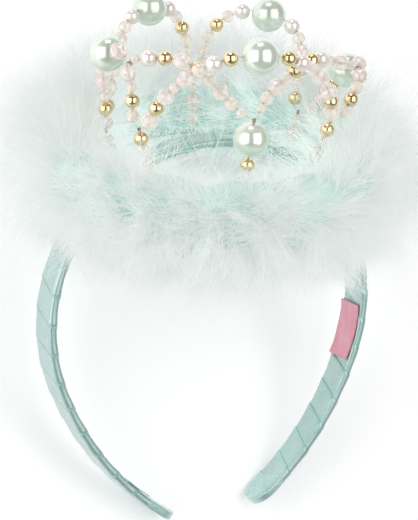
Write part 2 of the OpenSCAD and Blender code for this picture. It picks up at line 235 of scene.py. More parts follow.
def addBump(tree, shader, height, strength, distance):
    bump = addNode(tree, "ShaderNodeBump", Strength=strength, Distance=distance)
    tree.links.new(height, bump.inputs["Height"])
    tree.links.new(bump.outputs[0], shader.inputs["Normal"])


def setSockets(shader, values):
    for name, value in values.items():
        shader.inputs[name].default_value = value


def addGlow(material, tree, shader, colour, strength):
    # a little light of its own colour, as if scattered inside
    tree.links.new(colour, shader.inputs["Emission Color"])
    shader.inputs["Emission Strength"].default_value = strength
    material.cycles.emission_sampling = "NONE"


def mottledFinish(name, scale, tones, bump, settings, detail=3.0, glow=0.0):
    # two close tones in soft patches; bump gives the mottle's output, its strength and millimetres
    material, tree, shader = newMaterial(name)
    mottle = addMottle(tree, scale, detail)
    colour = colourSteps(tree, mottle.outputs["Mask"], list(zip((0.3, 0.7), tones)))
    tree.links.new(colour, shader.inputs["Base Color"])
    addBump(tree, shader, mottle.outputs[bump[0]], bump[1], bump[2] * mm)
    setSockets(shader, settings)
    if glow:
        addGlow(material, tree, shader, colour, glow)
    return material


def finishPiece(name, mesh, material, replaced=(), smooth=True):
    mesh.name = name
    mesh.materials.clear()
    mesh.materials.append(material)
    mesh.polygons.foreach_set("use_smooth", [smooth] * len(mesh.polygons))
    piece = addObject(name, mesh)
    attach(piece, "root")
    if replaced:
        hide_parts(*replaced)
    return piece


def settleMesh(bm, name):
    mesh = bpy.data.meshes.new(name)
    bm.normal_update()
    bm.to_mesh(mesh)
    bm.free()
    return mesh


def evaluatedMesh(piece, name):
    # the finished mesh of an object with modifiers or of a curve, and the object itself is dropped
    graph = bpy.context.evaluated_depsgraph_get()
    mesh = bpy.data.meshes.new_from_object(piece.evaluated_get(graph))
    mesh.name = name
    bpy.data.objects.remove(piece)
    return mesh


# the satin ribbon wound round the band
satin = {"pitch": 10.3, "ribbon": 12.6, "cloth": 0.08, "layer": 0.12, "step": 0.2, "stepFrom": 0.4,
         "stepOver": 0.5, "corner": 1.0, "roundSteps": 60, "acrossSteps": 9, "wander": 0.5, "ripple": 0.05,
         "selvage": 0.04, "selvageOver": 0.04, "endRoom": 0.8}
tip = {"length": 12.0, "more": 0.5, "over": 0.25, "lift": 0.12, "square": 6, "blunt": 0.8, "slant": 1.8,
       "closing": 3.2, "crease": 0.5, "pleat": 0.16, "creaseDepth": 0.3}


def bandAt(s):
    # point, way along and way out at s millimetres from the apex, right side positive, upright
    side = 1 if s >= 0 else -1
    reach = abs(s)
    turn = math.radians(band["arcEnd"])
    arcLength = band["arcRadius"] * turn
    if reach <= arcLength:
        angle, radius, middle = reach / band["arcRadius"], band["arcRadius"], Vector((0, 0, 0))
    else:
        angle = turn + (reach - arcLength) / band["legRadius"]
        radius = band["legRadius"]
        middle = Vector((math.sin(turn), 0, math.cos(turn))) * (band["arcRadius"] - band["legRadius"])
    out = Vector((math.sin(angle), 0, math.cos(angle)))
    along = Vector((math.cos(angle), 0, -math.sin(angle)))
    point = middle + out * radius
    point.x, out.x = point.x * side, out.x * side
    along = Vector((along.x, 0, along.z * side))
    return point, along, out


def sectionAt(u):
    # rounded oblong, u from 0 to 1: outer face, back edge, inner face back to front, front edge
    halfWide, halfThick, r = band["width"] / 2, band["thickness"] / 2, satin["corner"]
    wide, thick, bend = 2 * (halfWide - r), 2 * (halfThick - r), math.pi / 2 * r
    runs = [wide, bend, thick, bend] * 2
    corners = [(halfWide - r, halfThick - r, 90), (halfWide - r, r - halfThick, 0),
               (r - halfWide, r - halfThick, -90), (r - halfWide, halfThick - r, 180)]
    place = (u % 1) * sum(runs)
    for k, run in enumerate(runs):
        if place <= run or k == len(runs) - 1:
            break
        place -= run
    if k % 2 == 0:
        start = [(r - halfWide, halfThick), (halfWide, halfThick - r), (halfWide - r, -halfThick),
                 (-halfWide, r - halfThick)][k // 2]
        way = [(1, 0), (0, -1), (-1, 0), (0, 1)][k // 2]
        normal = [(0, 1), (1, 0), (0, -1), (-1, 0)][k // 2]
        return start[0] + way[0] * place, start[1] + way[1] * place, normal
    y, n, first = corners[k // 2]
    angle = math.radians(first) - place / r
    return y + r * math.cos(angle), n + r * math.sin(angle), (math.cos(angle), math.sin(angle))


legLength = band["legRadius"] * math.radians(band["legEnd"] - band["arcEnd"])
bandReach = band["arcRadius"] * math.radians(band["arcEnd"]) + legLength
tipRadius = (band["width"] + tip["more"]) / 2


def tipNarrowing(s):
    # the rounded tips: share of the full width at s
    past = (abs(s) - (bandReach - tipRadius)) / tipRadius
    return math.sqrt(1 - min(past, 0.99) ** 2) if past > 0 else 1


def smoothStep(x):
    x = min(max(x, 0), 1)
    return x * x * (3 - 2 * x)


wound = 2 * (bandReach + satin["pitch"])
wrapTurns = (wound - satin["ribbon"]) / satin["pitch"]
squareRound = 2 * (band["width"] + band["thickness"])


def nearestOut(point):
    # from the middle of the band's section towards an upright point
    angle = math.atan2(point.x, point.z)
    middle, along, out = bandAt(angle * band["arcRadius"])
    away = point - middle * mm
    return away - along * away.dot(along)


def wrapBand():
    # one ribbon wound from tip to tip: a flat grid bent into overlapping turns
    bm = bmesh.new()
    bmesh.ops.create_grid(bm, x_segments=int(wrapTurns * satin["roundSteps"]),
                          y_segments=satin["acrossSteps"], size=0.5, calc_uvs=False)
    uv = bm.loops.layers.uv.new("cloth")
    for vert in bm.verts:
        vert.co = ((vert.co.x + 0.5) * wrapTurns, vert.co.y + 0.5, 0)
    for face in bm.faces:
        for loop in face.loops:                                # millimetres of ribbon
            loop[uv].uv = (loop.vert.co.x * squareRound, loop.vert.co.y * satin["ribbon"])
    overlap = 1 - satin["pitch"] / satin["ribbon"]
    lastTurn = bandReach - satin["endRoom"]                    # the last turns end inside the tips
    for vert in bm.verts:
        turn, across = vert.co.x, vert.co.y
        wander = noise.noise(Vector((turn * 0.7, 3.1, 0))) * satin["wander"]
        s = -wound / 2 + satin["pitch"] * turn + satin["ribbon"] * across + wander
        s = min(max(s, -lastTurn), lastTurn)
        y, n, normal = sectionAt(turn)
        y *= tipNarrowing(s)
        ripple = noise.noise(Vector((turn * 3.0, across * 7, 9.7))) * satin["ripple"]
        settled = smoothStep((across - overlap * satin["stepFrom"]) / satin["stepOver"])
        lift = satin["layer"] + satin["step"] * (1 - settled) + ripple
        lift += satin["selvage"] * math.exp(-across / satin["selvageOver"])    # the edge stands up a little
        y, n = y + normal[0] * lift, n + normal[1] * lift
        point, along, out = bandAt(s)
        vert.co = uprightPlace @ ((point + out * n + Vector((0, y, 0))) * mm)
        vert.co.z = max(vert.co.z, 0)
    bm.normal_update()
    faces = list(bm.faces)
    middle = faces[len(faces) // 2]
    point = uprightPlace.inverted() @ middle.calc_center_median()
    if middle.normal.dot((uprightPlace.to_3x3() @ nearestOut(point)).normalized()) < 0:
        bmesh.ops.reverse_faces(bm, faces=faces)
    return settleMesh(bm, "bandWrap")


def makeSatin(name, base, light, seam=None):
    material, tree, shader = newMaterial(name)
    links = tree.links
    uvMap = addNode(tree, "ShaderNodeUVMap", uv_map="cloth")
    stretch = addNode(tree, "ShaderNodeMapping", Scale=(0.35, 2.2, 1))
    links.new(uvMap.outputs[0], stretch.inputs[0])
    streaks = addNode(tree, "ShaderNodeTexNoise", Scale=1.4, Detail=4.0)
    links.new(stretch.outputs[0], streaks.inputs["Vector"])
    threads = addNode(tree, "ShaderNodeTexWave", Scale=2.4, Distortion=0.6, bands_direction="Y")
    links.new(uvMap.outputs[0], threads.inputs["Vector"])
    mottle = addMottle(tree, 90)
    mixed = addShare(tree, streaks.outputs[0], mottle.outputs["Mask"], 0.5)
    colour = colourSteps(tree, mixed, [(0.35, base), (1.0, light)])
    if seam:                                                   # a brighter, more saturated aqua in a thin line along the ribbon's edge
        parts = addNode(tree, "ShaderNodeSeparateXYZ")
        links.new(uvMap.outputs[0], parts.inputs[0])
        selvage = colourSteps(tree, parts.outputs["Y"], [(0.55, (1, 1, 1, 1)), (0.85, (0, 0, 0, 1))])
        mix = addNode(tree, "ShaderNodeMix", data_type="RGBA")
        links.new(selvage, mix.inputs[0])
        links.new(colour, mix.inputs["A"])
        mix.inputs["B"].default_value = seam
        colour = mix.outputs["Result"]
    links.new(colour, shader.inputs["Base Color"])
    height = addShare(tree, streaks.outputs[0], threads.outputs["Fac"], 0.12)
    addBump(tree, shader, height, 0.35, 0.15 * mm)
    setSockets(shader, {"Metallic": 0.5, "Roughness": 0.28, "Specular IOR Level": 0.8, "Coat Weight": 0.5,
                        "Coat Roughness": 0.22, "Sheen Weight": 0.35, "Sheen Roughness": 0.35,
                        "Anisotropic": 0.5})
    return material


satinMaterial = makeSatin("satinAqua", tint(138, 182, 178), tint(190, 213, 209), tint(166, 224, 216))
satinPlain = makeSatin("satinPlain", tint(146, 190, 186), tint(198, 221, 218))
wrapMesh = wrapBand()
bandWrap = finishPiece("bandWrap", wrapMesh, satinMaterial, ["band"])
solid = bandWrap.modifiers.new("ribbonThickness", "SOLIDIFY")
solid.thickness, solid.offset = satin["cloth"] * mm, -1
print("band wrapped,", len(wrapMesh.polygons), "faces")


def makeTips():
    # the ribbon's end folded over each tip: a closed form squared up, rounded at the end and creased
    bm = bmesh.new()
    uv = bm.loops.layers.uv.new("cloth")
    half = tip["length"] / 2
    for side in (-1, 1):
        made = bmesh.ops.create_uvsphere(bm, u_segments=64, v_segments=48, radius=1)
        for vert in made["verts"]:
            a, b, c = vert.co.z, vert.co.x, vert.co.y       # along, across, through
            ring = math.hypot(b, c)
            if ring > 1e-6:
                b, c, power = b / ring, c / ring, tip["square"]
                full = 1 / (abs(b) ** power + abs(c) ** power) ** (1 / power)
                b, c = b * full, c * full
            slant = tip["slant"] * b * (1 - smoothStep(a + 0.9))
            reach = bandReach + tip["over"] - half + math.copysign(abs(a) ** tip["blunt"], a) * half + slant
            close = min(1, tip["closing"] * math.sqrt(max(1 - abs(a), 0)))
            crease = noise.noise(Vector((a * 2.4 + side * 5, b * 2.6, c))) * tip["crease"]
            crease += math.sin(b * 7 + a * 4 + side * 2) * tip["pleat"] * smoothStep(a + 0.6)
            point, along, out = bandAt(side * min(reach, bandReach + 0.2))
            y = b * close * tipNarrowing(reach - 0.3) * (tipRadius + 0.1)
            thick = (band["thickness"] + tip["more"]) / 2 + tip["lift"] + tip["creaseDepth"] * crease
            n = c * close * thick
            vert.co = uprightPlace @ ((point + out * n + Vector((0, y, 0))) * mm)
            vert.co.z = max(vert.co.z, 0)
        for face in {f for v in made["verts"] for f in v.link_faces}:
            for loop in face.loops:
                local = uprightPlace.inverted() @ loop.vert.co
                loop[uv].uv = (local.y / mm, local.z / mm)
    bmesh.ops.recalc_face_normals(bm, faces=bm.faces)
    return settleMesh(bm, "tipFolds")


tipFolds = finishPiece("tipFolds", makeTips(), satinPlain)


# the label and the ribbon's loose end
label = {"from": 95.0, "to": 115.0, "margin": 0.4, "thickness": 0.7, "gap": 0.3, "tape": 0.45,
         "farLift": 0.25, "nearLift": 0.2, "wave": 0.06}
tail = {"length": 10.0, "width": 6.0, "fromEnd": 8.0, "cloth": 0.3, "lift": 0.45, "curl": 0.5, "wave": 0.08}


def makeStrip(name, toPoint, wide, long, steps, thickness):
    # a flat grid, its long way in x, bent by toPoint(x, y) and given its thickness
    bm = bmesh.new()
    bmesh.ops.create_grid(bm, x_segments=steps[0], y_segments=steps[1], size=0.5, calc_uvs=False)
    uv = bm.loops.layers.uv.new("cloth")
    for face in bm.faces:
        for loop in face.loops:
            loop[uv].uv = ((loop.vert.co.x + 0.5) * long, (loop.vert.co.y + 0.5) * wide)
    for vert in bm.verts:
        vert.co = uprightPlace @ (toPoint(vert.co.x + 0.5, vert.co.y * wide) * mm)
    bm.normal_update()
    bmesh.ops.solidify(bm, geom=list(bm.faces), thickness=thickness * mm)
    bmesh.ops.recalc_face_normals(bm, faces=bm.faces)
    return settleMesh(bm, name)


def labelPoint(x, y):
    angle = math.radians(label["from"] + (label["to"] - label["from"]) * x)
    radius = band["arcRadius"] - band["thickness"] / 2 - label["gap"] - label["thickness"] / 2
    radius -= label["farLift"] * smoothStep((x - 0.75) * 4) + label["nearLift"] * smoothStep((0.12 - x) * 8)
    radius += label["wave"] * math.sin(y * 1.3 + x * 7)
    return Vector((math.sin(angle) * radius, y, math.cos(angle) * radius))


def tailPoint(x, y):
    start = bandReach - tipRadius - tail["fromEnd"] - tail["length"]
    point, along, out = bandAt(-(start + x * tail["length"]))
    lift = band["thickness"] / 2 + tail["lift"] + tail["curl"] * x * x
    lift += tail["wave"] * math.sin(y * 2.2 + x * 5)
    return point - out * lift + Vector((0, y - (band["width"] - tail["width"]) / 2, 0))


def makeLabelCloth():
    material, tree, shader = newMaterial("labelTape")
    links = tree.links
    uvMap = addNode(tree, "ShaderNodeUVMap", uv_map="cloth")
    weave = addNode(tree, "ShaderNodeTexChecker", Scale=3.2)
    links.new(uvMap.outputs[0], weave.inputs["Vector"])
    ribs = addNode(tree, "ShaderNodeTexWave", Scale=1.6, Distortion=0.4)
    links.new(uvMap.outputs[0], ribs.inputs["Vector"])
    mottle = addMottle(tree, 150)
    colour = colourSteps(tree, mottle.outputs["Mask"], [(0.3, tint(233, 150, 168)),
                                                        (0.75, tint(243, 176, 191))])
    links.new(colour, shader.inputs["Base Color"])
    height = addNode(tree, "ShaderNodeMath", operation="ADD")
    links.new(weave.outputs["Fac"], height.inputs[0])
    links.new(ribs.outputs["Fac"], height.inputs[1])
    addBump(tree, shader, height.outputs[0], 0.3, 0.08 * mm)
    setSockets(shader, {"Roughness": 0.5, "Sheen Weight": 0.3})
    return material


labelWide = band["width"] - 2 * label["margin"]
labelLong = math.radians(label["to"] - label["from"]) * band["arcRadius"]
labelMesh = makeStrip("labelFold", labelPoint, labelWide, labelLong, (40, 20), label["tape"])
labelPiece = finishPiece("labelFold", labelMesh, makeLabelCloth(), ["label"])
tailMesh = makeStrip("ribbonEnd", tailPoint, tail["width"], tail["length"], (24, 14), tail["cloth"])
tailPiece = finishPiece("ribbonEnd", tailMesh, satinPlain, ["ribbon_tail"])
print("tips, label and ribbon end done")


# beads: places and wire directions read from the CAD nodes
def looseParts(name):
    bm = bmesh.new()
    bm.from_mesh(nodes[name].data)
    bmesh.ops.remove_doubles(bm, verts=bm.verts, dist=1e-6)
    bm.verts.ensure_lookup_table()
    seen, parts = set(), []
    for first in bm.verts:
        if first.index in seen:
            continue
        seen.add(first.index)
        heap, part = [first], []
        while heap:
            vert = heap.pop()
            part.append(vert)
            for edge in vert.link_edges:
                other = edge.other_vert(vert)
                if other.index not in seen:
                    seen.add(other.index)
                    heap.append(other)
        parts.append(measureBead(part))
    bm.free()
    return parts


def measureBead(verts):
    faces = list({f for v in verts for f in v.link_faces})
    area = np.array([f.calc_area() for f in faces])
    places = np.array([f.calc_center_median() for f in faces])
    normals = np.array([f.normal for f in faces])
    middle = (places * area[:, None]).sum(0) / area.sum()
    bore = ((places - middle) * normals).sum(1) < 0
    wall = normals[bore] * np.sqrt(area[bore])[:, None]
    axis = np.linalg.eigh(wall.T @ wall)[1][:, 0]
    away = np.array([v.co for v in verts]) - middle
    along = away @ axis
    width = 2 * np.linalg.norm(away - np.outer(along, axis), axis=1).max()
    return {"middle": Vector(middle), "axis": Vector(axis), "long": 2 * abs(along).max(), "wide": width}


crownInverse = crownPlace.inverted()
places = ("front", "left", "back_left", "back_right", "right", "garland_left", "garland_right", "post")


def turnOf(bead):
    # turn round the crown's axis, 0 in front, right side positive
    local = crownInverse @ bead["middle"]
    return math.atan2(local.x, -local.y)


def readString(place):
    # a string's small beads, its big pearl and its gold beads
    beads = []
    starts = ("beads_" + place, "pearl_" + place, "gold_" + place + "_")
    for name in sorted(nodes):
        if name.startswith(starts):
            beads += [dict(bead, node=name) for bead in looseParts(name)]
    return beads


strings = {place: readString(place) for place in places}
print("beads read:", {place: len(beads) for place, beads in strings.items()})


def orderString(beads):
    # sorted round the crown's axis, unwrapped at the widest empty stretch
    turns = sorted(turnOf(b) for b in beads)
    gaps = [(turns[(i + 1) % len(turns)] - t) % (2 * math.pi) for i, t in enumerate(turns)]
    start = turns[(gaps.index(max(gaps)) + 1) % len(turns)]
    beads.sort(key=lambda b: (turnOf(b) - start) % (2 * math.pi))
    for i, bead in enumerate(beads):
        ahead = beads[min(i + 1, len(beads) - 1)]["middle"] - beads[max(i - 1, 0)]["middle"]
        if bead["axis"].dot(ahead) < 0:
            bead["axis"] = -bead["axis"]


postSpread = 0.25                                              # radians, the beads of one post


def splitPosts(beads):
    # post beads lie on straight lines: grouped by their turn round the crown, lowest first
    groups = []
    for bead in sorted(beads, key=turnOf):
        if groups and abs(turnOf(bead) - turnOf(groups[-1][-1])) < postSpread:
            groups[-1].append(bead)
        else:
            groups.append([bead])
    if abs(turnOf(groups[0][0]) + 2 * math.pi - turnOf(groups[-1][-1])) < postSpread:
        groups[0] = groups.pop() + groups[0]                   # the post at the very back
    for group in groups:
        group.sort(key=lambda b: (crownInverse @ b["middle"]).z)
        for bead in group:
            if bead["axis"].dot(crownAxis) < 0:
                bead["axis"] = -bead["axis"]
    return groups


for place, beads in strings.items():
    if place != "post":
        orderString(beads)
posts = splitPosts(strings["post"])
print("posts:", [len(post) for post in posts])


def turnTo(axis):
    return axis.to_track_quat("Z", "Y").to_matrix().to_4x4()


rolledIn = {"lip": 0.86, "depth": 0.95}                        # shares of the hole and of half the bead


def spinRound(bm, radius, bore, steps, rings):
    # a half circle spun round the wire, with its hole's rim rolled in
    opening = math.asin(bore / radius)
    profile = []
    for k in range(rings + 1):
        angle = opening + (math.pi - 2 * opening) * k / rings
        profile.append(bm.verts.new((radius * math.sin(angle), 0, radius * math.cos(angle))))
    lip, depth = bore * rolledIn["lip"], radius * math.cos(opening) * rolledIn["depth"]
    line = [bm.verts.new((lip, 0, depth)), *profile, bm.verts.new((lip, 0, -depth))]
    edges = [bm.edges.new((a, b)) for a, b in zip(line, line[1:] + line[:1])]
    bmesh.ops.spin(bm, geom=line + edges, cent=(0, 0, 0), axis=(0, 0, 1), angle=2 * math.pi, steps=steps,
                   use_merge=True)


def placeBeads(name, beads, shape, material, replaced=(), smooth=True):
    # one template mesh, copied to every bead's place and joined
    bm = bmesh.new()
    for i, bead in enumerate(beads):
        turned = turnTo(bead["axis"]) @ Matrix.Rotation(i * 1.7, 4, "Z")       # so that no two look alike
        place = Matrix.Translation(bead["middle"]) @ turned
        copy = shape(bead).copy()
        copy.transform(place @ Matrix.Scale(mm, 4))
        bm.from_mesh(copy)
        bpy.data.meshes.remove(copy)
    return finishPiece(name, settleMesh(bm, name), material, replaced, smooth)


templates = {}


def roundTemplate(size, kind):
    key = (round(size, 2), kind["hole"], kind["steps"], kind["rings"])
    if key not in templates:
        bm = bmesh.new()
        spinRound(bm, size / 2, kind["hole"] / 2, kind["steps"], kind["rings"])
        bmesh.ops.remove_doubles(bm, verts=bm.verts, dist=1e-4)
        bmesh.ops.recalc_face_normals(bm, faces=bm.faces)
        templates[key] = settleMesh(bm, "roundBead")
    return templates[key]


pearl = {"size": 12.0, "hole": 0.9, "steps": 64, "rings": 40}
gold = {"size": 5.0, "hole": 1.2, "steps": 32, "rings": 18}
smallPearl = {"size": 5.5, "slack": 0.2, "hole": 0.9, "steps": 32, "rings": 18}
clear = {"hole": 0.9, "steps": 28, "rings": 16}
crystal = {"sides": 8, "rings": 6, "stretch": 1.08, "bevel": 0.05, "longest": 0.985}


def cutTemplate(long, wide):
    # faceted glass: a low sphere whose rings are turned by half a facet, its ends cut flat
    key = ("cut", round(long, 2), round(wide, 2))
    if key not in templates:
        bm = bmesh.new()
        bmesh.ops.create_uvsphere(bm, u_segments=crystal["sides"], v_segments=crystal["rings"], radius=0.5)
        levels = sorted({round(v.co.z, 4) for v in bm.verts})
        halfFacet = math.pi / crystal["sides"]
        full = wide / math.cos(halfFacet)                      # wide across the facets
        for vert in bm.verts:
            level = levels.index(round(vert.co.z, 4))
            turned = Matrix.Rotation(halfFacet * (level % 2), 3, "Z") @ vert.co
            vert.co = (turned.x * full, turned.y * full, turned.z * long * crystal["stretch"])
        bmesh.ops.triangulate(bm, faces=bm.faces)
        for end in (1, -1):
            cut = bmesh.ops.bisect_plane(bm, geom=bm.verts[:] + bm.edges[:] + bm.faces[:], clear_outer=True,
                                         plane_co=(0, 0, end * long / 2), plane_no=(0, 0, end))
            rim = [e for e in cut["geom_cut"] if isinstance(e, bmesh.types.BMEdge)]
            bmesh.ops.edgeloop_fill(bm, edges=rim)
        bmesh.ops.recalc_face_normals(bm, faces=bm.faces)
        bmesh.ops.bevel(bm, geom=bm.edges[:], offset=crystal["bevel"], offset_type="OFFSET", affect="EDGES",
                        segments=1, profile=0.5, material=-1)
        templates[key] = settleMesh(bm, "cutBead")
    return templates[key]


def pearlFinish(name, tones, lustre, coat):
    return mottledFinish(name, 160, tones, ("Fine", 0.04, 0.05), {
        "Metallic": lustre, "Roughness": 0.2, "Coat Weight": coat, "Coat Roughness": 0.07,
        "Specular IOR Level": 0.7, "Sheen Weight": 0.15})


mintPearl = pearlFinish("mintPearl", (tint(214, 228, 212), tint(230, 240, 228)), 0.38, 1.0)
whitePearl = pearlFinish("whitePearl", (tint(240, 230, 225), tint(250, 242, 237)), 0.3, 0.8)
goldFinish = mottledFinish("paleGold", 500, (tint(234, 208, 158), tint(246, 228, 188)),
                           ("Mask", 0.12, 0.12), {"Metallic": 1.0, "Roughness": 0.17})


def glassFinish(name, body, film, clearness, roughness):
    return mottledFinish(name, 300, (body, tint(253, 248, 241)), ("Fine", 0.05, 0.05), {
        "Transmission Weight": clearness, "Roughness": roughness, "IOR": 1.52, "Thin Film Thickness": film,
        "Thin Film IOR": 1.7, "Coat Weight": 0.8, "Coat Roughness": 0.03}, glow=0.05)


clearGlass = glassFinish("clearBead", tint(250, 241, 230), 0.0, 0.6, 0.03)
crystalGlass = glassFinish("coatedCrystal", tint(250, 243, 234), 330.0, 0.65, 0.02)

allBeads = [b for beads in strings.values() for b in beads]
bigBeads = [b for b in allBeads if b["node"].startswith("pearl_")]
goldBeads = [b for b in allBeads if b["node"].startswith("gold_")]
smallBeads = [b for b in allBeads if b["node"].startswith("beads_")]


def isCut(bead):
    # only the cut beads are as long as they are wide
    return bead["long"] > crystal["longest"] * bead["wide"]


def isPearl(bead):
    return not isCut(bead) and abs(bead["wide"] / mm - smallPearl["size"]) < smallPearl["slack"]


for bead in bigBeads:
    place = bead["node"].split("_", 1)[1].title().replace("_", "")
    placeBeads("pearl" + place, [bead], lambda b: roundTemplate(pearl["size"], pearl), mintPearl,
               [bead["node"]])
placeBeads("goldBeads", goldBeads, lambda b: roundTemplate(gold["size"], gold), goldFinish,
           [b["node"] for b in goldBeads])
placeBeads("smallPearls", [b for b in smallBeads if isPearl(b)],
           lambda b: roundTemplate(b["wide"] / mm, smallPearl), whitePearl,
           sorted({b["node"] for b in smallBeads}))
placeBeads("clearBeads", [b for b in smallBeads if not isPearl(b) and not isCut(b)],
           lambda b: roundTemplate(b["wide"] / mm, clear), clearGlass)
placeBeads("cutCrystals", [b for b in smallBeads if isCut(b)],
           lambda b: cutTemplate(b["long"] / mm, b["wide"] / mm), crystalGlass, smooth=False)
print("beads placed:", len(bigBeads), "big,", len(goldBeads), "gold,", len(smallBeads), "small")


# wire: the strings and posts, twisted joints, ties and the bound ring
wire = {"thickness": 0.34, "string": 0.3, "knotRoom": 1.4, "postReach": 9.0, "coilTurns": 2.5,
        "coilRadius": 0.45, "coilRise": 1.7, "tieTurns": 4.5, "tieRadius": 0.9, "tieRise": 1.6,
        "tieShare": 0.35}
ring = {"thread": 0.5, "turns": 150, "steps": 6}


def newWires(name, thickness, sides=2):
    data = bpy.data.curves.new(name, "CURVE")
    data.dimensions = "3D"
    data.bevel_depth = thickness / 2 * mm
    data.bevel_resolution = sides
    data.use_fill_caps = True
    return data


def addRun(data, points, closed=False):
    spline = data.splines.new("POLY")
    spline.points.add(len(points) - 1)
    for point, place in zip(spline.points, points):
        point.co = (*place, 1)
    spline.use_cyclic_u = closed


def wireMesh(data):
    return evaluatedMesh(addObject(data.name, data), data.name)


def beadEnds(bead):
    half = bead["axis"] * bead["long"] / 2
    return bead["middle"] - half, bead["middle"] + half


def postTop(post):
    return post[-1]["middle"] + post[-1]["axis"] * (post[-1]["long"] / 2 + wire["knotRoom"] * mm)


def coil(middle, axis, turns, radius, rise, steps=10):
    place = Matrix.Translation(middle) @ turnTo(axis)
    count = int(turns * steps)
    points = []
    for i in range(count + 1):
        angle = 2 * math.pi * i / steps
        point = Vector((radius * math.cos(angle), radius * math.sin(angle), rise * (i / count - 0.5)))
        points.append(place @ (point * mm))
    return points


def makeWires():
    # the thin wire that the beads are strung on, and the brown twists and ties at the joints
    thin, brown = newWires("stringWire", wire["string"]), newWires("crownWire", wire["thickness"])
    tops = [postTop(p) for p in posts]
    for post, top in zip(posts, tops):
        low = crownInverse @ post[0]["middle"]
        foot = crownPlace @ (Vector((low.x, low.y, 0)).normalized() * crown["radius"] * mm)
        addRun(thin, [foot] + [e for b in post for e in beadEnds(b)] + [top])
        addRun(brown, coil(top, post[-1]["axis"], wire["coilTurns"], wire["coilRadius"], wire["coilRise"]))
    sideArches = strings["left"] + strings["right"]
    for place in places[:-1]:                                  # all but the posts
        run = [e for b in strings[place] for e in beadEnds(b)]
        ends = []
        for end in (run[0], run[-1]):
            near = min(tops, key=lambda t: (t - end).length)
            ends.append([near] if (near - end).length < wire["postReach"] * mm else [])
        addRun(thin, ends[0] + run + ends[1])
        for end, last in zip(ends, (run[0], run[-1])):
            if not end:                                        # a garland's tie on a side arch
                host = min(sideArches, key=lambda b: (b["middle"] - last).length)
                tie = last + (host["middle"] - last) * wire["tieShare"]
                addRun(brown, coil(tie, host["axis"], wire["tieTurns"], wire["tieRadius"], wire["tieRise"]))
                addRun(thin, [last, tie])
    return wireMesh(thin), wireMesh(brown)


def makeRing():
    # the ring wire bound with thread: a tight coil round the ring
    data = newWires("ringBinding", ring["thread"], 1)
    count, tube = ring["turns"] * ring["steps"], (crown["wire"] - ring["thread"]) / 2
    points = []
    for i in range(count):
        a, b = 2 * math.pi * i / count, 2 * math.pi * i / ring["steps"]
        r = crown["radius"] + tube * math.cos(b)
        points.append(crownPlace @ (Vector((r * math.sin(a), -r * math.cos(a), tube * math.sin(b))) * mm))
    addRun(data, points, closed=True)
    return wireMesh(data)


def wireFinish(name, tones):
    return mottledFinish(name, 900, tones, ("Fine", 0.1, 0.05), {"Metallic": 0.55, "Roughness": 0.35})


brownWire = wireFinish("brownWire", (tint(134, 106, 94), tint(184, 158, 142)))
paleWire = wireFinish("paleWire", (tint(214, 200, 188), tint(236, 226, 216)))
bindingThread = mottledFinish("bindingThread", 700, (tint(168, 214, 206), tint(205, 234, 228)),
                              ("Fine", 0.2, 0.1), {"Roughness": 0.5})
stringMesh, knotMesh = makeWires()
finishPiece("crownWire", knotMesh, brownWire, ["crown_wire"])
finishPiece("stringWire", stringMesh, paleWire)
finishPiece("ringBinding", makeRing(), bindingThread)
print("wires done")


# marabou: a soft core and fine fibres in plumes
down = {"radius": 49.0, "out": 13.0, "up": 15.0, "core": 0.84, "lumps": 0.16, "coreFloor": 0.4, "seed": 11,
        "rise": 0.06, "frontDip": 0.44, "skirt": -0.1, "roots": 0.3, "rootSpread": 1.6}
fibre = {"points": 5, "root": 0.26, "tip": 0.04, "sway": 0.45, "plumeBend": 0.34, "bend": 0.22, "curl": 0.35,
         "shortest": 0.62, "longest": 1.08, "floorRoom": 0.4, "past": 9.0}
# how many plumes and fibres in each, their reach, their turn in radians from straight out over the top,
# how far the tips close up, and how far a plume spreads
outer = {"plumes": 420, "each": 46, "reach": (18, 25), "turn": (-2.1, 1.9), "clump": 0.45, "spread": 3.0}
halo = {"plumes": 70, "each": 8, "reach": (26, 34), "turn": (-2.1, 1.9), "clump": 0.1, "spread": 5.0}
inner = {"plumes": 240, "each": 40, "reach": (13, 17), "turn": (1.7, 4.4), "clump": 0.4, "spread": 2.4}
barbs = {"plumes": 70, "each": 10, "reach": (24, 44), "turn": (2.3, 3.4), "clump": 0.1, "spread": 6.0}


def makeDownCore():
    # the soft inside of the ring: a tube spun round the crown's axis, pushed in and out
    bm = bmesh.new()
    bmesh.ops.create_circle(bm, segments=28, radius=1)
    for vert in bm.verts:
        vert.co = (down["radius"] + vert.co.x * down["out"] * down["core"], 0,
                   vert.co.y * down["up"] * down["core"])
    bmesh.ops.spin(bm, geom=bm.verts[:] + bm.edges[:], cent=(0, 0, 0), axis=(0, 0, 1), angle=2 * math.pi,
                   steps=120, use_merge=True)
    bmesh.ops.remove_doubles(bm, verts=bm.verts, dist=1e-3)
    for vert in bm.verts:
        flat = Vector((vert.co.x, vert.co.y, 0)).normalized() * down["radius"]
        push = noise.fractal(vert.co * 0.11, 1.0, 2.0, 3) * down["lumps"]
        vert.co = flat + (vert.co - flat) * (1 + push)
        vert.co = crownPlace @ (vert.co * mm)
        vert.co.z = max(vert.co.z, down["coreFloor"] * mm)
    bmesh.ops.recalc_face_normals(bm, faces=bm.faces)
    return settleMesh(bm, "downCore")


def makeDownFinish(name, rootShade, pale, glow):
    # painted shade deep in the fluff: darker and more aqua at the root, paler towards the tip; paler or
    # darker too from fibre to fibre and in patches
    material, tree, shader = newMaterial(name)
    along = addNode(tree, "ShaderNodeAttribute", attribute_name="alongFibre")
    each = addNode(tree, "ShaderNodeAttribute", attribute_name="eachFibre")
    shadeAndTone = addShare(tree, along.outputs["Fac"], each.outputs["Fac"], 0.2)
    shadeAndTone = addShare(tree, shadeAndTone, addMottle(tree, 60).outputs["Mask"], 0.5)
    colour = colourSteps(tree, shadeAndTone, [(0.1, rootShade), (0.8, pale)])
    tree.links.new(colour, shader.inputs["Base Color"])
    addGlow(material, tree, shader, colour, glow)
    setSockets(shader, {"Roughness": 0.9, "Specular IOR Level": 0.2})
    return material
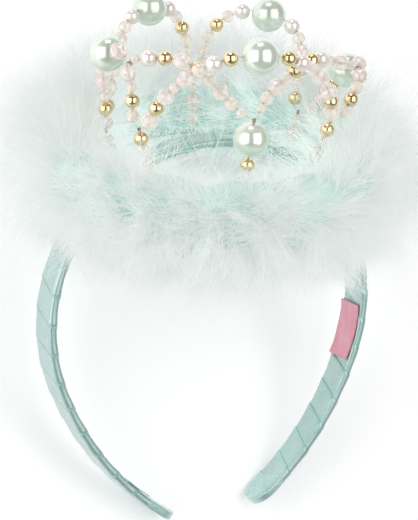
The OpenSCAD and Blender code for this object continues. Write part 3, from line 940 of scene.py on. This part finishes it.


# first tone: painted shade at the fibre roots, deep in the fluff
downFinish = makeDownFinish("marabouDown", tint(203, 224, 219), tint(231, 234, 233), 0.17)
# the inner fibres glow more strongly: painted light in the shaded hollow of the ring
innerFinish = makeDownFinish("innerDown", tint(188, 226, 219), tint(234, 242, 240), 0.28)
coreFinish = mottledFinish("downCore", 120, (tint(192, 230, 223), tint(224, 242, 238)),
                           ("Fine", 0.6, 0.8), {"Roughness": 0.95, "Sheen Weight": 0.4}, detail=5.0)
finishPiece("downCore", makeDownCore(), coreFinish, ["marabou"])


def reachShare(ringAngle, turn):
    # low in front, where the crown shows, higher behind it, and a little shorter below
    rise, fall = np.maximum(np.sin(turn), 0), np.maximum(-np.sin(turn), 0)
    return 1 - rise * (down["rise"] + down["frontDip"] * np.cos(ringAngle + 0.3)) + fall * down["skirt"]


def growPlumes(rng, kind, edges):
    # fibres of every plume as arrays (plumes * each, points, 3), in the crown's own frame, millimetres
    plumes, each, steps = kind["plumes"], kind["each"], fibre["points"]
    count = plumes * each
    ringAngle = np.repeat(rng.uniform(*edges, plumes), each)
    turn = np.repeat(rng.uniform(*kind["turn"], plumes), each)
    long = np.repeat(rng.uniform(*kind["reach"], plumes), each)
    sway = np.repeat(rng.normal(0, fibre["sway"], plumes), each)
    long = long * rng.uniform(fibre["shortest"], fibre["longest"], count) * reachShare(ringAngle, turn)
    outward = np.stack([np.sin(ringAngle), -np.cos(ringAngle), np.zeros(count)], 1)
    upward = np.tile([0.0, 0.0, 1.0], (count, 1))
    around = np.stack([np.cos(ringAngle), np.sin(ringAngle), np.zeros(count)], 1)
    way = outward * np.cos(turn)[:, None] + upward * np.sin(turn)[:, None] + around * sway[:, None]
    way /= np.linalg.norm(way, axis=1)[:, None]
    side = np.cross(way, around)
    side /= np.linalg.norm(side, axis=1)[:, None]
    other = np.cross(way, side)
    spread = rng.normal(0, 1, (count, 2)) * kind["spread"]
    root = (outward * (down["radius"] + down["out"] * down["roots"] * np.cos(turn))[:, None]
            + upward * (down["up"] * down["roots"] * np.sin(turn))[:, None])
    root += np.repeat(rng.normal(0, down["rootSpread"], (plumes, 3)), each, axis=0)
    bend = np.repeat(rng.normal(0, fibre["plumeBend"], (plumes, 2)), each, axis=0)
    bend = bend + rng.normal(0, fibre["bend"], (count, 2))
    curl = rng.uniform(0, 2 * np.pi, (count, 2))
    paths = np.empty((count, steps, 3))
    for k in range(steps):
        u = k / (steps - 1)
        away = spread * (u ** 0.6) * (1 - kind["clump"] * u ** 1.4)
        away = away + bend * (long * u * u)[:, None] + np.sin(curl + u * 5) * fibre["curl"] * u
        paths[:, k] = root + way * (long * u)[:, None] + side * away[:, :1] + other * away[:, 1:]
    return paths


def setPointValues(data, name, values):
    attribute = data.attributes.get(name) or data.attributes.new(name, "FLOAT", "POINT")
    attribute.data.foreach_set("value", values.astype(np.float32))


def fibreMesh(name, kinds, rng, edges=(0.0, 2 * math.pi)):
    # plumes of each kind as hair curves, made into thin tapered blades by geometry nodes
    paths = np.concatenate([growPlumes(rng, kind, edges) for kind in kinds])
    count, steps = paths.shape[:2]
    place = np.array(crownPlace)
    points = (paths.reshape(-1, 3) * mm) @ place[:3, :3].T + place[:3, 3]
    low, high = np.array(cadBox[0]) - fibre["past"] * mm, np.array(cadBox[1]) + fibre["past"] * mm
    low[2] = fibre["floorRoom"] * mm
    points = np.clip(points, low, high)
    share = np.tile(np.linspace(0, 1, steps), count)
    width = (fibre["root"] + (fibre["tip"] - fibre["root"]) * share ** 0.8) * mm / 2
    data = bpy.data.hair_curves.new(name + "Hair")
    data.add_curves([steps] * count)
    data.set_types(type="POLY")
    data.attributes["position"].data.foreach_set("vector", points.astype(np.float32).ravel())
    setPointValues(data, "radius", width)
    setPointValues(data, "alongFibre", share)
    setPointValues(data, "eachFibre", np.repeat(rng.uniform(0, 1, count), steps))
    hair = addObject(name + "Hair", data)
    tree = bpy.data.node_groups.new(name + "Blades", "GeometryNodeTree")
    for way in ("INPUT", "OUTPUT"):
        tree.interface.new_socket("Geometry", in_out=way, socket_type="NodeSocketGeometry")
    output = tree.nodes.new("NodeGroupOutput")
    source = tree.nodes.new("GeometryNodeObjectInfo")
    source.inputs["Object"].default_value = hair
    blade = tree.nodes.new("GeometryNodeCurvePrimitiveLine")
    blade.inputs["Start"].default_value = (-1, 0, 0)
    blade.inputs["End"].default_value = (1, 0, 0)
    sweep = tree.nodes.new("GeometryNodeCurveToMesh")
    tree.links.new(source.outputs["Geometry"], sweep.inputs["Curve"])
    tree.links.new(tree.nodes.new("GeometryNodeInputRadius").outputs[0], sweep.inputs["Scale"])
    tree.links.new(blade.outputs["Curve"], sweep.inputs["Profile Curve"])
    tree.links.new(sweep.outputs["Mesh"], output.inputs["Geometry"])
    carrier = addObject(name, bpy.data.meshes.new(name))
    carrier.modifiers.new("blades", "NODES").node_group = tree
    mesh = evaluatedMesh(carrier, name)
    bpy.data.objects.remove(hair)
    return mesh


rng = np.random.default_rng(down["seed"])
for k, name in enumerate(("downFront", "downRight", "downBack", "downLeft")):
    edges = ((k - 0.5) * math.pi / 2, (k + 0.5) * math.pi / 2)
    mesh = fibreMesh(name, (outer, halo), rng, edges)
    finishPiece(name, mesh, downFinish)
    print(name, len(mesh.polygons), "faces")
finishPiece("downInner", fibreMesh("downInner", (inner, barbs), rng), innerFinish)
print("inner down and the long hairs across the hollow done")


# floor, room and lamps
stageValues = {"floor": 4.0, "floorDrop": 0.0002, "glowFrom": 0.35, "glowTo": 1.0, "floorGlow": 0.22,
               "farGlow": 0.72, "room": 0.34, "seenRoom": 1.0, "tilt": 0.12}


def makeFloor():
    bm = bmesh.new()
    bmesh.ops.create_grid(bm, x_segments=1, y_segments=1, size=stageValues["floor"])
    mesh = settleMesh(bm, "floor")
    material, tree, shader = newMaterial("paleFloor")
    mottle = addMottle(tree, 3)
    tones = [(0.3, tint(246, 247, 247)), (0.7, tint(250, 250, 250))]
    tree.links.new(colourSteps(tree, mottle.outputs["Mask"], tones), shader.inputs["Base Color"])
    setSockets(shader, {"Roughness": 0.8, "Specular IOR Level": 0.1, "Emission Color": (1, 1, 1, 1)})
    place = tree.nodes.new("ShaderNodeTexCoord")               # pale far off too, where no lamp reaches
    away = addNode(tree, "ShaderNodeVectorMath", operation="LENGTH")
    tree.links.new(place.outputs["Object"], away.inputs[0])
    glow = tree.nodes.new("ShaderNodeMapRange")
    for socket, value in zip(glow.inputs[1:5], ("glowFrom", "glowTo", "floorGlow", "farGlow")):
        socket.default_value = stageValues[value]
    tree.links.new(away.outputs["Value"], glow.inputs["Value"])
    tree.links.new(glow.outputs[0], shader.inputs["Emission Strength"])
    material.cycles.emission_sampling = "NONE"
    mesh.materials.append(material)
    floor = addObject("floor", mesh)
    floor.location.z = -stageValues["floorDrop"]


def makeWorld():
    # white room with a darker side towards the photographer, which the pearls and gold reflect
    world = bpy.data.worlds.new("studio")
    bpy.context.scene.world = world
    world.use_nodes = True
    tree = world.node_tree
    tree.nodes.clear()
    links = tree.links
    place = tree.nodes.new("ShaderNodeTexCoord")
    dot = addNode(tree, "ShaderNodeVectorMath", operation="DOT_PRODUCT")
    links.new(place.outputs["Generated"], dot.inputs[0])
    dot.inputs[1].default_value = cameraTurn @ Vector((0, stageValues["tilt"], 1)).normalized()
    walls = [(0.0, (1, 1, 1, 1)), (0.35, (0.95, 0.95, 0.95, 1)), (0.75, (0.25, 0.23, 0.2, 1)),
             (1.0, (0.12, 0.11, 0.1, 1))]
    ramp = colourSteps(tree, dot.outputs["Value"], walls)
    seen = tree.nodes.new("ShaderNodeLightPath")
    room = addNode(tree, "ShaderNodeBackground", Strength=stageValues["room"])
    plain = addNode(tree, "ShaderNodeBackground", Color=(1, 1, 1, 1), Strength=stageValues["seenRoom"])
    mix = tree.nodes.new("ShaderNodeMixShader")
    output = tree.nodes.new("ShaderNodeOutputWorld")
    links.new(ramp, room.inputs["Color"])
    links.new(seen.outputs["Is Camera Ray"], mix.inputs[0])
    links.new(room.outputs[0], mix.inputs[1])
    links.new(plain.outputs[0], mix.inputs[2])
    links.new(mix.outputs[0], output.inputs["Surface"])


# degrees aside and above the camera's line, then metres away, watts, width and height in metres
lamps = {"leftSoftbox": (-40, 4, 0.95, 6.9, 0.95, 1.2), "rightSoftbox": (40, 4, 0.95, 6.4, 0.95, 1.2),
         "topSoftbox": (0, 75, 1.1, 1.8, 0.42, 0.42)}


def makeLamps():
    # softboxes that face the crown
    for name, (aside, above, distance, watts, wide, high) in lamps.items():
        a, e = math.radians(aside), math.radians(above)
        way = cameraTurn @ Vector((math.sin(a) * math.cos(e), math.sin(e), math.cos(a) * math.cos(e)))
        data = bpy.data.lights.new(name, "AREA")
        data.shape, data.size, data.size_y, data.energy = "RECTANGLE", wide, high, watts
        side = (cameraTurn @ Vector((0, 1, 0))).cross(way).normalized()
        turn = Matrix((side, way.cross(side), way)).transposed().to_4x4()
        place = Matrix.Translation(crownPlace.translation + way * distance)
        addObject(name, data).matrix_world = place @ turn


makeFloor()
makeWorld()
makeLamps()
bpy.context.scene.view_settings.view_transform = "Standard"
print("floor, world and lamps set")
